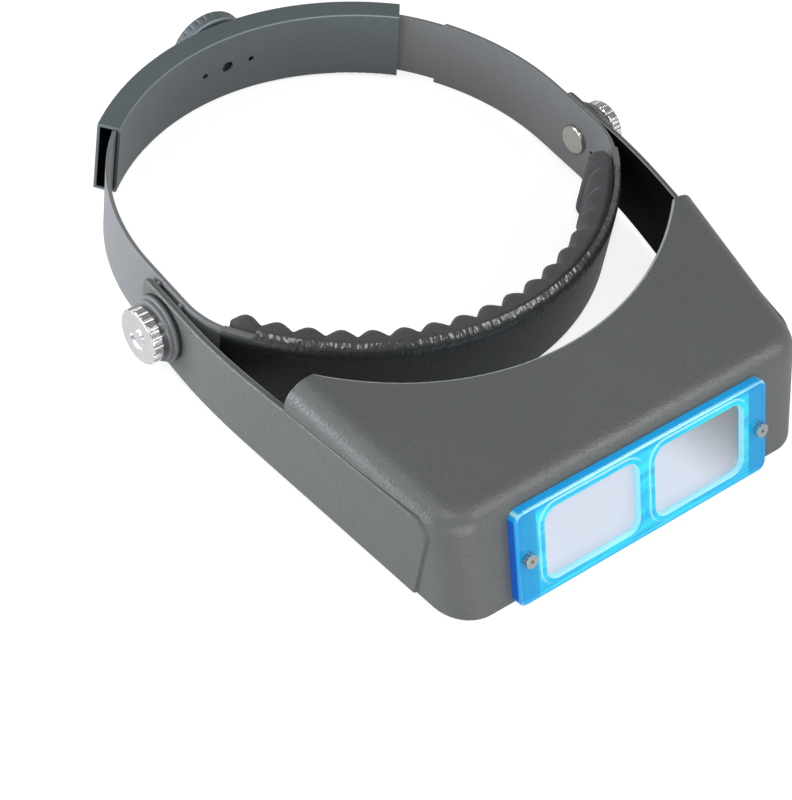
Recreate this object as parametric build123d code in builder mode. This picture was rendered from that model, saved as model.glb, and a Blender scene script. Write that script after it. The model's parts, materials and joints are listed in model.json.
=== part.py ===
from build123d import *
from math import atan2, cos, degrees, pi, radians, sin, sqrt
import os

os.makedirs("parts", exist_ok=True)

# Head visor magnifier. Millimetres, +Z up, the wearer looks along -Y.
# The origin is midway between the two temple pivots, on the tilting axis (the X axis).

# Driving dimensions -------------------------------------------------------------------

# Headband strip, seen from above: a flat at each temple, joined by arcs.
TEMPLE_X = 96.0          # outer face of the strip at the temple pivots
STRIP = 1.5              # thickness of the strip
BAND_BOTTOM = -14.5
BAND_TOP = 15.0
FRONT_Y = -72.2          # foremost point of the strip's outer face
FRONT_RADIUS = 110.0     # brow arc
TEMPLE_RADIUS = 34.0     # arc from the brow to the temple flat
TAIL_HINGE_Y = 9.0       # where the front piece of the strip ends
TAIL_GAP = 0.4           # between the front piece and a tail, so that the tail can turn

# Rear sleeve and the two toothed tails that slide in it.
SLEEVE_CENTRE_Y = -3.0
SLEEVE_IN = 105.0        # radii of the sleeve's inner and outer faces
SLEEVE_OUT = 114.0
SLEEVE_WALL = 1.3
SLEEVE_BOTTOM = -14.3
SLEEVE_TOP = 15.5
SLEEVE_HALF_ANGLE = 39.5
SLEEVE_LEAN = 5.0        # the open ends lean back at the top
TAIL_BOTTOM = -12.8      # the tails are narrower than the strip where they slide
TAIL_TOP = 14.0
SHOULDER_Y = 67.0        # where a tail steps down to its narrow part
TAIL_PAST_MIDDLE = 14.0  # each tail passes the middle of the sleeve by this angle
LEFT_TAIL_OUT = 109.2    # radius of the outer face of the tail that lies inside
RIGHT_TAIL_OUT = 111.6   # radius of the outer face of the tail that lies outside
LEFT_FLANK = 88.0        # radii of the arcs from the temple flats to the sleeve
RIGHT_FLANK = 92.0

# Size adjuster: a pinion between the two racks, turned by the rear knob.
KNOB_AXIS_Z = 0.6
RACK_PITCH = 4.0
RACK_TEETH = 12
RACK_TOOTH = 1.4         # width of a rack tooth
PINION_TEETH = 10
RACK_LINE = RACK_PITCH * PINION_TEETH / (2 * pi)   # pitch line above and below the axis
TOOTH = 2.0              # height of a tooth
PLAY = 0.3               # between the tooth tips and the roots they run in
REAR_KNOB_RADIUS = 16.0

# Temple pivot, stacked outwards along X from the inner face of the strip.
STUD_RADIUS = 2.5
RUN = 0.05               # running clearance
SPACER_IN, SPACER_OUT = 96.05, 97.25
ARM_IN, ARM_OUT = 97.35, 100.0
RING_OUT = 101.2
WASHER_OUT = 104.2
THUMB_HUB_OUT = 105.8
THUMB_HUB_RADIUS = 7.6
THUMB_OUT = 110.2
THUMB_RADIUS = 10.5

# Visor shell.
WALL = 2.5
RIM_REAR_Z, RIM_FRONT_Z = -14.0, -22.0     # lower rim at the pivots and at the front
RIM_REAR_Y, RIM_FRONT_Y = -5.0, -150.0
TOP_REAR_Z, TOP_FRONT_Z = 24.4, 17.4       # roof at its rear tips and at the front
TOP_REAR_Y, TOP_FRONT_Y = -64.0, -137.0
SIDE_X, SIDE_SLOPE = 93.8, 0.153           # outer side of the hood at the roof's rear tips
SHELL_EDGE = 9.0                           # outer radius between the roof and the walls
SHELL_CORNER = 15.0                        # outer radius of the two front corners
BROW_RADIUS, BROW_Y = 120.8, -95.0         # concave rear edge of the roof
BROW_EDGE = 0.9                            # rounding of that edge, above and below
HOOD_REAR_Y = -62.5
ARM_TOP_Z = 13.5
ARM_REAR_Y, ARM_FRONT_Y = 13.0, -129.0
ARM_END_ROUND = 3.0
ARM_FRONT_ROUND = 8.0
ARM_EDGE = 0.7
ARM_STRAIGHT_Y = -14.0                     # an arm is straight behind this and curved before it
ARM_WAIST_X, ARM_WAIST_Y = 95.2, -61.0     # point on the arm's outer face
ARM_PROUD = 1.0                            # the arm's front end stands this far out of the hood's wall

# Lens plate on the sloping front face.
LENS_Y, LENS_Z = -147.4, -3.4    # centre of the plate's front face
FACE_TILT = 19.2                 # the face leans back at the top
PLATE_LENGTH, PLATE_HEIGHT = 117.0, 38.6
FLANGE = 4.0
BOX_LENGTH, BOX_HEIGHT, BOX_DEPTH = 99.2, 34.4, 5.2
WINDOW_X, WINDOW_V = 25.0, 0.7   # middle of each window on the plate
WINDOW_LENGTH, WINDOW_HEIGHT, WINDOW_CORNER = 43.0, 29.7, 5.5
LENS_SEAT = 1.4                  # depth of the shoulder that the lens rests on
LENS_STUD_X = 54.0
LENS_STUD_RADIUS = 1.5
STUD_BOSS_RADIUS, STUD_BOSS_HEIGHT = 3.2, 3.5   # bosses inside the face, round the studs
PLATE_CORNER = 4.0
PLATE_CHAMFER = 0.8
LIP_WIDTH, LIP_HEIGHT, LIP_TAPER = 2.2, 0.6, 30.0   # raised lip round each window
WINDOW_TAPER = 20.0              # slope of a window's walls, in degrees

# Planes and shared curves -------------------------------------------------------------

tilt = radians(FACE_TILT)
FACE = Plane(origin=(0, LENS_Y, LENS_Z), x_dir=(1, 0, 0), z_dir=(0, -cos(tilt), sin(tilt)))
FACE_AXIS = Axis((0, LENS_Y, LENS_Z), FACE.z_dir)
RIM_SLOPE = (RIM_FRONT_Z - RIM_REAR_Z) / (RIM_FRONT_Y - RIM_REAR_Y)
ROOF_SLOPE = (TOP_FRONT_Z - TOP_REAR_Z) / (TOP_FRONT_Y - TOP_REAR_Y)


def face_y(z, depth):
    """Y of the plane parallel to the front face, that far behind the lens plate's face."""
    return LENS_Y + depth / cos(tilt) + (z - LENS_Z) * sin(tilt) / cos(tilt)


def sloped_plane(y, z, slope):
    """A plane through (0, y, z) that rises by slope along Y, with its normal upwards."""
    return Plane(origin=(0, y, z), x_dir=(1, 0, 0), z_dir=(0, -slope, 1))


def save(part, name):
    part.label = name
    export_step(part, f"parts/{name}.step")


def rims(builder, radius):
    """The circular edges of that radius."""
    circles = builder.edges().filter_by(GeomType.CIRCLE)
    return circles.filter_by(lambda edge: abs(edge.radius - radius) < 0.01)


def front_curve(inset):
    """The front of the strip from hinge to hinge, inset from its outer face."""
    brow = FRONT_RADIUS - inset
    temple = TEMPLE_RADIUS - inset
    centre_y = FRONT_Y + FRONT_RADIUS
    reach = FRONT_RADIUS - TEMPLE_RADIUS
    small_x = TEMPLE_X - TEMPLE_RADIUS
    small_y = centre_y - sqrt(reach**2 - small_x**2)
    turn = degrees(atan2(centre_y - small_y, small_x))
    x = TEMPLE_X - inset
    with BuildLine() as curve:
        Line((-x, TAIL_HINGE_Y), (-x, small_y))
        CenterArc((-small_x, small_y), temple, 180, turn)
        CenterArc((0, centre_y), brow, 180 + turn, 180 - 2 * turn)
        CenterArc((small_x, small_y), temple, -turn, turn)
        Line((x, small_y), (x, TAIL_HINGE_Y))
    return curve.line


def tail_curve(outer_radius, flank_radius, inset):
    """One tail from its hinge at +X to its tip past the middle of the sleeve."""
    radius = outer_radius - inset
    flank = flank_radius - inset
    reach = outer_radius - flank_radius
    small_x = TEMPLE_X - flank_radius
    small_y = SLEEVE_CENTRE_Y + sqrt(reach**2 - small_x**2)
    turn = degrees(atan2(small_y - SLEEVE_CENTRE_Y, small_x))
    x = TEMPLE_X - inset
    with BuildLine() as curve:
        Line((x, TAIL_HINGE_Y + TAIL_GAP), (x, small_y))
        CenterArc((small_x, small_y), flank, 0, turn)
        CenterArc((0, SLEEVE_CENTRE_Y), radius, turn, 90 + TAIL_PAST_MIDDLE - turn)
    return curve.line


def between(outer, inner):
    """The closed outline of the ground between two curves that run side by side."""
    with BuildLine() as outline:
        add(outer)
        add(inner)
        Line(outer @ 0, inner @ 0)
        Line(outer @ 1, inner @ 1)
    return outline.edges()


# Headband strip -----------------------------------------------------------------------

PEG_Y = -10.5            # peg that stops the arm spacer from turning on the strip
PEG_RADIUS = 1.25

with BuildPart() as band_front:
    with BuildSketch(Plane.XY.offset(BAND_BOTTOM)):
        make_face(between(front_curve(0), front_curve(STRIP)))
    extrude(amount=BAND_TOP - BAND_BOTTOM)
    with BuildSketch(Plane.YZ):
        Circle(STUD_RADIUS + RUN)
        with Locations((PEG_Y, 0)):
            Circle(PEG_RADIUS + RUN)
    extrude(amount=TEMPLE_X + 10, both=True, mode=Mode.SUBTRACT)
save(band_front.part, "band_front")


def sector(outer, inner, half_angle):
    """The outline of an arc-shaped block about the middle of the sleeve."""
    start = 90 - half_angle
    with BuildLine() as outline:
        far = CenterArc((0, SLEEVE_CENTRE_Y), outer, start, 2 * half_angle)
        near = CenterArc((0, SLEEVE_CENTRE_Y), inner, start, 2 * half_angle)
        Line(far @ 0, near @ 0)
        Line(far @ 1, near @ 1)
    return outline.edges()


def make_tail(outer_radius, flank_radius, rack_side):
    """A tail at +X, with its rack on the upper (1) or lower (-1) edge of its slot."""
    middle = outer_radius - STRIP / 2
    root = RACK_LINE + TOOTH / 2 + PLAY
    step = degrees(RACK_PITCH / middle)
    outer = tail_curve(outer_radius, flank_radius, 0)
    inner = tail_curve(outer_radius, flank_radius, STRIP)
    with BuildPart() as tail:
        with BuildSketch(Plane.XY.offset(TAIL_BOTTOM)):
            make_face(between(outer, inner))
        extrude(amount=TAIL_TOP - TAIL_BOTTOM)
        with BuildSketch(Plane.XY.offset(BAND_BOTTOM)):
            make_face(between(outer, inner))
            with Locations((0, SHOULDER_Y + SLEEVE_OUT / 2)):
                Rectangle(3 * SLEEVE_OUT, SLEEVE_OUT, mode=Mode.SUBTRACT)
        extrude(amount=BAND_TOP - BAND_BOTTOM)
        with BuildSketch(Plane.XY.offset(KNOB_AXIS_Z - root)):
            make_face(sector(outer_radius + 1, outer_radius - STRIP - 1, RACK_TEETH / 2 * step))
        extrude(amount=2 * root, mode=Mode.SUBTRACT)
        rack_z = KNOB_AXIS_Z + rack_side * (root + PLAY - TOOTH / 2)
        with BuildSketch(Plane.XY.offset(rack_z - TOOTH / 2)):
            for index in range(RACK_TEETH):
                angle = step * (index - (RACK_TEETH - 1) / 2)
                x = middle * sin(radians(angle))
                y = middle * cos(radians(angle)) + SLEEVE_CENTRE_Y
                with Locations((x, y)):
                    Rectangle(RACK_TOOTH, STRIP, rotation=-angle)
        extrude(amount=TOOTH)
    return tail.part


right_tail = make_tail(RIGHT_TAIL_OUT, RIGHT_FLANK, 1)
left_tail = make_tail(LEFT_TAIL_OUT, LEFT_FLANK, -1)

with BuildPart() as band_tail_right:
    add(right_tail)
save(band_tail_right.part, "band_tail_right")

with BuildPart() as band_tail_left:
    add(mirror(left_tail, about=Plane.YZ))
save(band_tail_left.part, "band_tail_left")

# Comfort pad --------------------------------------------------------------------------

PAD_THICKNESS = 9.5
PAD_GAP = 0.3            # between the strip and the foam or the cover
PAD_BOTTOM, PAD_TOP = -14.0, 15.2
PAD_END_Y = -23.3
COVER_WALL = 1.2
COVER_BOTTOM, COVER_TOP = -16.6, 17.4
COVER_END_Y = -32.0


def front_band(near, far, bottom, top, end_y):
    """A band that follows the brow between two insets, cut off square behind end_y."""
    with BuildPart() as band:
        with BuildSketch(Plane.XY.offset(bottom)):
            make_face(between(front_curve(near), front_curve(far)))
            with Locations((0, end_y + TEMPLE_X)):
                Rectangle(3 * TEMPLE_X, 2 * TEMPLE_X, mode=Mode.SUBTRACT)
        extrude(amount=top - bottom)
    return band.part


foam_near = STRIP + PAD_GAP
foam = front_band(foam_near, foam_near + PAD_THICKNESS, PAD_BOTTOM, PAD_TOP, PAD_END_Y)
cover_far = -PAD_GAP - COVER_WALL
cover_near = foam_near - 0.2
wrap = front_band(cover_far, cover_near, COVER_BOTTOM, COVER_TOP, COVER_END_Y)
hollow_bottom = BAND_BOTTOM - PAD_GAP
hollow_top = BAND_TOP + PAD_GAP
hollow = front_band(-PAD_GAP, cover_near + 1, hollow_bottom, hollow_top, COVER_END_Y + 1)

with BuildPart() as comfort_pad:
    add(foam)
save(comfort_pad.part, "comfort_pad")

with BuildPart() as pad_cover:
    add(wrap)
    add(hollow, mode=Mode.SUBTRACT)
save(pad_cover.part, "pad_cover")

# Rear sleeve --------------------------------------------------------------------------

SLEEVE_HOLE_SPACING = 11.0   # small holes either side of the screw hole
SMALL_HOLE_RADIUS = 1.35
SCREW_HOLE_RADIUS = 2.5
KNOB_HUB_RADIUS = 4.5
BOSS_RADIUS = 13.0
BOSS_Y = SLEEVE_CENTRE_Y + SLEEVE_OUT + 0.4

KNOB_PLANE = Plane(origin=(0, 0, KNOB_AXIS_Z), x_dir=(1, 0, 0), z_dir=(0, -1, 0))


def knob_plane(y):
    """The plane across the knob's axis at that Y, facing the front."""
    return KNOB_PLANE.offset(-y)


def sleeve_end(side):
    """The leaning plane of one open end; its normal points out of the sleeve."""
    angle = radians(SLEEVE_HALF_ANGLE)
    middle = (SLEEVE_IN + SLEEVE_OUT) / 2
    lean = radians(SLEEVE_LEAN)
    origin = (side * middle * sin(angle), SLEEVE_CENTRE_Y + middle * cos(angle), KNOB_AXIS_Z)
    normal = (side * cos(angle) * cos(lean), -sin(angle) * cos(lean), sin(lean))
    return Plane(origin=origin, z_dir=normal)


with BuildPart() as rear_sleeve:
    with BuildSketch(Plane.XY.offset(SLEEVE_BOTTOM)):
        make_face(sector(SLEEVE_OUT, SLEEVE_IN, SLEEVE_HALF_ANGLE + 5))
    extrude(amount=SLEEVE_TOP - SLEEVE_BOTTOM)
    with BuildSketch(knob_plane(BOSS_Y)):
        Circle(BOSS_RADIUS)
    extrude(amount=SLEEVE_WALL)
    with BuildSketch(Plane.XY.offset(SLEEVE_BOTTOM + SLEEVE_WALL)):
        make_face(sector(SLEEVE_OUT - SLEEVE_WALL, SLEEVE_IN + SLEEVE_WALL, SLEEVE_HALF_ANGLE + 10))
    extrude(amount=SLEEVE_TOP - SLEEVE_BOTTOM - 2 * SLEEVE_WALL, mode=Mode.SUBTRACT)
    split(bisect_by=sleeve_end(1), keep=Keep.BOTTOM)
    split(bisect_by=sleeve_end(-1), keep=Keep.BOTTOM)
    with BuildSketch(knob_plane(BOSS_Y + 1)):
        Circle(KNOB_HUB_RADIUS + RUN)
    extrude(amount=SLEEVE_WALL + 2, mode=Mode.SUBTRACT)
    with BuildSketch(knob_plane(SLEEVE_CENTRE_Y + SLEEVE_IN + SLEEVE_WALL + 0.5)):
        Circle(SCREW_HOLE_RADIUS)
        with Locations((-SLEEVE_HOLE_SPACING, 0), (SLEEVE_HOLE_SPACING, 0)):
            Circle(SMALL_HOLE_RADIUS)
    extrude(amount=SLEEVE_WALL + 2, mode=Mode.SUBTRACT)
    fillet(rims(rear_sleeve, SLEEVE_OUT) + rims(rear_sleeve, SLEEVE_IN), radius=0.5)
save(rear_sleeve.part, "rear_sleeve")

# Size adjuster: pinion, knob, spring washer and screw ----------------------------------

PINION_FRONT_Y = 104.4
PINION_REAR_Y = 108.9
PINION_BORE = 1.25
TOOTH_FOOT, TOOTH_TIP = 1.2, 0.4   # half widths of a pinion tooth
SCREW_HEAD_RADIUS = 2.2
SCREW_HEAD_DEPTH = 1.6
SCREW_END_Y = 117.0
CROSS_LENGTH, CROSS_WIDTH, CROSS_DEPTH = 2.6, 0.6, 0.8   # cross slot in the screw's head
SPRING_THICKNESS = 0.5
SPRING_RADIUS = 9.0
KNOB_FRONT_Y = BOSS_Y + SPRING_THICKNESS + 2 * RUN
KNOB_REAR_Y = 118.6
KNOB_GROOVES = 32
KNOB_GROOVE, KNOB_GROOVE_LENGTH = 0.9, 5.0   # the grooves start at the knob's rear face
KNOB_REAR_ROUND, KNOB_FRONT_ROUND = 2.2, 0.8
KNOB_LIP = 5.0           # width of the raised rim round the knob's rear face


with BuildPart() as pinion:
    root = RACK_LINE - TOOTH / 2
    with BuildSketch(knob_plane(PINION_REAR_Y)):
        Circle(root)
        with PolarLocations(0, PINION_TEETH, start_angle=90):
            Polygon((root - 0.6, -TOOTH_FOOT), (root, -TOOTH_FOOT), (root + TOOTH, -TOOTH_TIP),
                    (root + TOOTH, TOOTH_TIP), (root, TOOTH_FOOT), (root - 0.6, TOOTH_FOOT), align=None)
        Circle(PINION_BORE, mode=Mode.SUBTRACT)
    extrude(amount=PINION_REAR_Y - PINION_FRONT_Y)
    with BuildSketch(knob_plane(PINION_FRONT_Y + SCREW_HEAD_DEPTH + RUN)):
        Circle(SCREW_HEAD_RADIUS + RUN)
    extrude(amount=SCREW_HEAD_DEPTH + 1, mode=Mode.SUBTRACT)
save(pinion.part, "pinion")

with BuildPart() as knob_screw:
    with BuildSketch(knob_plane(PINION_FRONT_Y + SCREW_HEAD_DEPTH)):
        Circle(SCREW_HEAD_RADIUS)
    extrude(amount=SCREW_HEAD_DEPTH - RUN)
    with BuildSketch(knob_plane(SCREW_END_Y)):
        Circle(PINION_BORE - RUN)
    extrude(amount=SCREW_END_Y - PINION_FRONT_Y - SCREW_HEAD_DEPTH)
    with BuildSketch(knob_plane(PINION_FRONT_Y + CROSS_DEPTH)):
        Rectangle(CROSS_LENGTH, CROSS_WIDTH)
        Rectangle(CROSS_WIDTH, CROSS_LENGTH)
    extrude(amount=2, mode=Mode.SUBTRACT)
save(knob_screw.part, "knob_screw")

with BuildPart() as knob_spring:
    with BuildSketch(knob_plane(BOSS_Y + RUN + SPRING_THICKNESS)):
        Circle(SPRING_RADIUS)
        Circle(KNOB_HUB_RADIUS + 0.3, mode=Mode.SUBTRACT)
    extrude(amount=SPRING_THICKNESS)
save(knob_spring.part, "knob_spring")

with BuildPart() as rear_knob:
    with BuildSketch(knob_plane(KNOB_REAR_Y)):
        Circle(REAR_KNOB_RADIUS)
    extrude(amount=KNOB_REAR_Y - KNOB_FRONT_Y)
    rear_rim = rear_knob.edges().group_by(Axis.Y)[-1]
    fillet(rear_rim, radius=KNOB_REAR_ROUND)
    front_rim = rear_knob.edges().group_by(Axis.Y)[0]
    fillet(front_rim, radius=KNOB_FRONT_ROUND)
    with BuildSketch(knob_plane(KNOB_REAR_Y + 1)):
        with PolarLocations(REAR_KNOB_RADIUS + 0.5, KNOB_GROOVES):
            Circle(KNOB_GROOVE)
    extrude(amount=KNOB_GROOVE_LENGTH, mode=Mode.SUBTRACT)
    with BuildSketch(knob_plane(KNOB_REAR_Y + 1)):
        Circle(REAR_KNOB_RADIUS - KNOB_LIP)
    extrude(amount=2, mode=Mode.SUBTRACT)
    with BuildSketch(knob_plane(KNOB_FRONT_Y)):
        Circle(KNOB_HUB_RADIUS)
    extrude(amount=KNOB_FRONT_Y - PINION_REAR_Y - RUN)
    with BuildSketch(knob_plane(SCREW_END_Y + RUN)):
        Circle(PINION_BORE - RUN / 2)
    extrude(amount=SCREW_END_Y - PINION_REAR_Y + 1, mode=Mode.SUBTRACT)
save(rear_knob.part, "rear_knob")

# Temple pivots ------------------------------------------------------------------------

HEAD_RADIUS, HEAD_HEIGHT = 6.0, 1.6
STUD_END = 109.4
SPACER_RADIUS = 10.5
PEG_LENGTH = 0.5
RIB_WIDTH, RIB_TOP = 0.9, 14.2   # two upright ribs on a spacer end just above the arm
RIB_REAR_Y, RIB_FRONT_Y = 7.5, -5.5
RING_RADIUS = 12.6
WASHER_RADIUS, WASHER_NECK, WASHER_STEP = 12.6, 11.7, 1.3
THUMB_GROOVES = 20
THUMB_CHAMFER = 0.5
THUMB_GROOVE = 0.85      # radius of a groove round the knob's rim
DISH_OUT, DISH_IN, DISH_DEPTH = 5.0, 2.9, 0.5   # ring-shaped recess in the knob's face


def at_x(x):
    """The plane across the pivot axis at that X, facing outwards on the right."""
    return Plane.YZ.offset(x)


def save_pair(part, name):
    """Writes a right-hand piece and its mirror image on the left."""
    save(part, f"{name}_right")
    with BuildPart() as left:
        add(mirror(part, about=Plane.YZ))
    save(left.part, f"{name}_left")


with BuildPart() as pivot_stud:
    with BuildSketch(at_x(TEMPLE_X - STRIP - HEAD_HEIGHT)):
        Circle(HEAD_RADIUS)
    extrude(amount=HEAD_HEIGHT - RUN)
    fillet(pivot_stud.edges().group_by(Axis.X)[0], radius=1.0)
    with BuildSketch(at_x(TEMPLE_X - STRIP - RUN)):
        Circle(STUD_RADIUS)
    extrude(amount=STUD_END - TEMPLE_X + STRIP + RUN)
    chamfer(pivot_stud.edges().group_by(Axis.X)[-1], length=0.4)
save_pair(pivot_stud.part, "pivot_stud")

with BuildPart() as arm_spacer:
    with BuildSketch(at_x(SPACER_IN)):
        Circle(SPACER_RADIUS)
        with Locations((RIB_REAR_Y, RIB_TOP / 2), (RIB_FRONT_Y, RIB_TOP / 2)):
            Rectangle(RIB_WIDTH, RIB_TOP)
        Circle(STUD_RADIUS + RUN, mode=Mode.SUBTRACT)
    extrude(amount=SPACER_OUT - SPACER_IN)
    with BuildSketch(at_x(SPACER_IN)):
        with Locations((PEG_Y, 0)):
            Circle(PEG_RADIUS)
    extrude(amount=-PEG_LENGTH)
save_pair(arm_spacer.part, "arm_spacer")

with BuildPart() as friction_ring:
    with BuildSketch(at_x(ARM_OUT + RUN)):
        Circle(RING_RADIUS)
        Circle(STUD_RADIUS + 0.3, mode=Mode.SUBTRACT)
    extrude(amount=RING_OUT - ARM_OUT - RUN)
    fillet(rims(friction_ring, RING_RADIUS), radius=0.4)
save_pair(friction_ring.part, "friction_ring")

with BuildPart() as pressure_washer:
    with BuildSketch(at_x(RING_OUT + RUN)):
        Circle(WASHER_RADIUS)
    extrude(amount=WASHER_STEP)
    with BuildSketch(at_x(RING_OUT + RUN + WASHER_STEP)):
        Circle(WASHER_NECK)
    extrude(amount=WASHER_OUT - RING_OUT - WASHER_STEP - RUN)
    fillet(rims(pressure_washer, WASHER_RADIUS), radius=0.35)
    fillet(pressure_washer.edges().group_by(Axis.X)[-1], radius=0.35)
    with BuildSketch(at_x(RING_OUT)):
        Circle(STUD_RADIUS + RUN)
    extrude(amount=WASHER_OUT - RING_OUT + 1, mode=Mode.SUBTRACT)
save_pair(pressure_washer.part, "pressure_washer")

with BuildPart() as thumb_knob:
    with BuildSketch(at_x(WASHER_OUT + RUN)):
        Circle(THUMB_HUB_RADIUS)
    extrude(amount=THUMB_HUB_OUT - WASHER_OUT - RUN)
    with BuildSketch(at_x(THUMB_HUB_OUT)):
        Circle(THUMB_RADIUS)
        with PolarLocations(THUMB_RADIUS + THUMB_GROOVE / 3, THUMB_GROOVES):
            Circle(THUMB_GROOVE, mode=Mode.SUBTRACT)
    extrude(amount=THUMB_OUT - THUMB_HUB_OUT)
    chamfer(rims(thumb_knob, THUMB_RADIUS), length=THUMB_CHAMFER)
    with BuildSketch(at_x(THUMB_OUT)):
        Circle(DISH_OUT)
        Circle(DISH_IN, mode=Mode.SUBTRACT)
    extrude(amount=-DISH_DEPTH, mode=Mode.SUBTRACT)
    with BuildSketch(at_x(WASHER_OUT)):
        Circle(STUD_RADIUS + RUN)
    extrude(amount=STUD_END - WASHER_OUT + RUN, mode=Mode.SUBTRACT)
save_pair(thumb_knob.part, "thumb_knob")

# Visor shell --------------------------------------------------------------------------

LOFT_BOTTOM_Z, LOFT_TOP_Z = -26.0, 30.0
HOOD_BACK_Y = -40.0


def hood_section(z, inset):
    """A level slice through the hood, seen from above, before its rear is cut away."""
    front_y = face_y(z, FLANGE + inset)
    back_x = SIDE_X - inset + SIDE_SLOPE * (HOOD_BACK_Y - TOP_REAR_Y)
    front_x = SIDE_X - inset + SIDE_SLOPE * (front_y - TOP_REAR_Y)
    with BuildSketch(Plane.XY.offset(z)) as section:
        Polygon((-back_x, HOOD_BACK_Y), (-front_x, front_y),
                (front_x, front_y), (back_x, HOOD_BACK_Y), align=None)
        fillet(section.vertices().group_by(Axis.Y)[0], radius=SHELL_CORNER - inset)
    return section.sketch


def hood_block(inset):
    """The hood as a solid block, with its roof and walls moved inwards by inset."""
    with BuildPart() as block:
        loft([hood_section(LOFT_BOTTOM_Z, inset), hood_section(LOFT_TOP_Z, inset)], ruled=True)
        roof = sloped_plane(TOP_REAR_Y, TOP_REAR_Z - inset, ROOF_SLOPE)
        split(bisect_by=roof, keep=Keep.BOTTOM)
        roof_edges = block.faces().sort_by(Axis.Z)[-1].edges().sort_by(Axis.Y)[:-1]
        fillet(roof_edges, radius=SHELL_EDGE - inset)
    return block.part


def arm_side(side, shift):
    """One long side of an arm, seen from above."""
    front_x = SIDE_X + ARM_PROUD + SIDE_SLOPE * (ARM_FRONT_Y - TOP_REAR_Y)
    outer = ARM_OUT - shift
    with BuildLine() as curve:
        Line((side * outer, ARM_REAR_Y), (side * outer, ARM_STRAIGHT_Y))
        Spline((side * outer, ARM_STRAIGHT_Y), (side * (ARM_WAIST_X - shift), ARM_WAIST_Y),
               (side * (front_x - shift), ARM_FRONT_Y),
               tangents=((0, -1), (-side * SIDE_SLOPE, -1)))
    return curve.line


def make_arm(side):
    """One arm, with its long edges and its two ends rounded."""
    with BuildPart() as arm:
        with BuildSketch(Plane.XY.offset(LOFT_BOTTOM_Z)):
            make_face(between(arm_side(side, 0), arm_side(side, ARM_OUT - ARM_IN)))
        extrude(amount=ARM_TOP_Z - LOFT_BOTTOM_Z)
        top_ends = arm.edges().filter_by(Axis.X).group_by(Axis.Z)[-1].sort_by(Axis.Y)
        fillet(top_ends[0], radius=ARM_FRONT_ROUND)
        fillet(top_ends[-1], radius=ARM_END_ROUND)
        crosswise = arm.edges().filter_by(Axis.X)
        below = arm.edges().group_by(Axis.Z)[0]
        fillet(arm.edges() - crosswise - below, radius=ARM_EDGE)
    return arm.part


hood_outside = hood_block(0)
hood_inside = hood_block(WALL)
right_arm = make_arm(1)
left_arm = make_arm(-1)

with BuildPart() as visor_shell:
    add(hood_outside)
    add(hood_inside, mode=Mode.SUBTRACT)
    with BuildSketch(Plane.XY.offset(LOFT_BOTTOM_Z - 1)):
        with Locations((0, BROW_Y + BROW_RADIUS)):
            Circle(BROW_RADIUS)
        with Locations((0, HOOD_REAR_Y + 50)):
            Rectangle(220, 100)
    extrude(amount=LOFT_TOP_Z - LOFT_BOTTOM_Z + 2, mode=Mode.SUBTRACT)
    brow_edges = visor_shell.edges().filter_by(GeomType.ELLIPSE)
    fillet(brow_edges, radius=BROW_EDGE)
    add(right_arm)
    add(left_arm)
    split(bisect_by=sloped_plane(RIM_REAR_Y, RIM_REAR_Z, RIM_SLOPE), keep=Keep.TOP)
    with BuildSketch(Plane.YZ):
        Circle(STUD_RADIUS + RUN)
    extrude(amount=ARM_OUT + 5, both=True, mode=Mode.SUBTRACT)
    for side in (1, -1):
        with BuildSketch(FACE.offset(-FLANGE - WALL + 0.5)):
            with Locations((side * LENS_STUD_X, 0)):
                Circle(STUD_BOSS_RADIUS)
        extrude(amount=-STUD_BOSS_HEIGHT)
    with BuildSketch(FACE.offset(-FLANGE + 1)):
        RectangleRounded(BOX_LENGTH + 1, BOX_HEIGHT + 1, 1.5)
        with Locations((-LENS_STUD_X, 0), (LENS_STUD_X, 0)):
            Circle(LENS_STUD_RADIUS)
    extrude(amount=-12, mode=Mode.SUBTRACT)
save(visor_shell.part, "visor_shell")

# Lens plate ---------------------------------------------------------------------------

with BuildPart() as lens_frame:
    with BuildSketch(FACE):
        RectangleRounded(PLATE_LENGTH, PLATE_HEIGHT, PLATE_CORNER)
    extrude(amount=-FLANGE + RUN)
    chamfer(lens_frame.faces().sort_by(FACE_AXIS)[-1].edges(), length=PLATE_CHAMFER)
    with BuildSketch(FACE):
        with Locations((-WINDOW_X, WINDOW_V), (WINDOW_X, WINDOW_V)):
            RectangleRounded(WINDOW_LENGTH + 2 * LIP_WIDTH, WINDOW_HEIGHT + 2 * LIP_WIDTH,
                             WINDOW_CORNER + LIP_WIDTH)
    extrude(amount=LIP_HEIGHT, taper=LIP_TAPER)
    with BuildSketch(FACE.offset(-FLANGE + RUN)):
        RectangleRounded(BOX_LENGTH, BOX_HEIGHT, 1)
    extrude(amount=-BOX_DEPTH)
    with BuildSketch(FACE.offset(LIP_HEIGHT)):
        with Locations((-WINDOW_X, WINDOW_V), (WINDOW_X, WINDOW_V)):
            RectangleRounded(WINDOW_LENGTH, WINDOW_HEIGHT, WINDOW_CORNER)
    extrude(amount=-LIP_HEIGHT - LENS_SEAT, taper=WINDOW_TAPER, mode=Mode.SUBTRACT)
    with BuildSketch(FACE.offset(-LENS_SEAT)):
        with Locations((-WINDOW_X, WINDOW_V), (WINDOW_X, WINDOW_V)):
            RectangleRounded(WINDOW_LENGTH + 2, WINDOW_HEIGHT + 2, WINDOW_CORNER + 1)
    extrude(amount=-FLANGE - BOX_DEPTH, mode=Mode.SUBTRACT)
    with BuildSketch(FACE):
        with Locations((-LENS_STUD_X, 0), (LENS_STUD_X, 0)):
            Circle(LENS_STUD_RADIUS + 0.3)
    extrude(amount=-FLANGE, mode=Mode.SUBTRACT)
save(lens_frame.part, "lens_frame")

LENS_EDGE = 1.6
LENS_MIDDLE = 4.2
LENS_BULGE_RADIUS = 140.0
LENS_PLAY = 0.1


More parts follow.
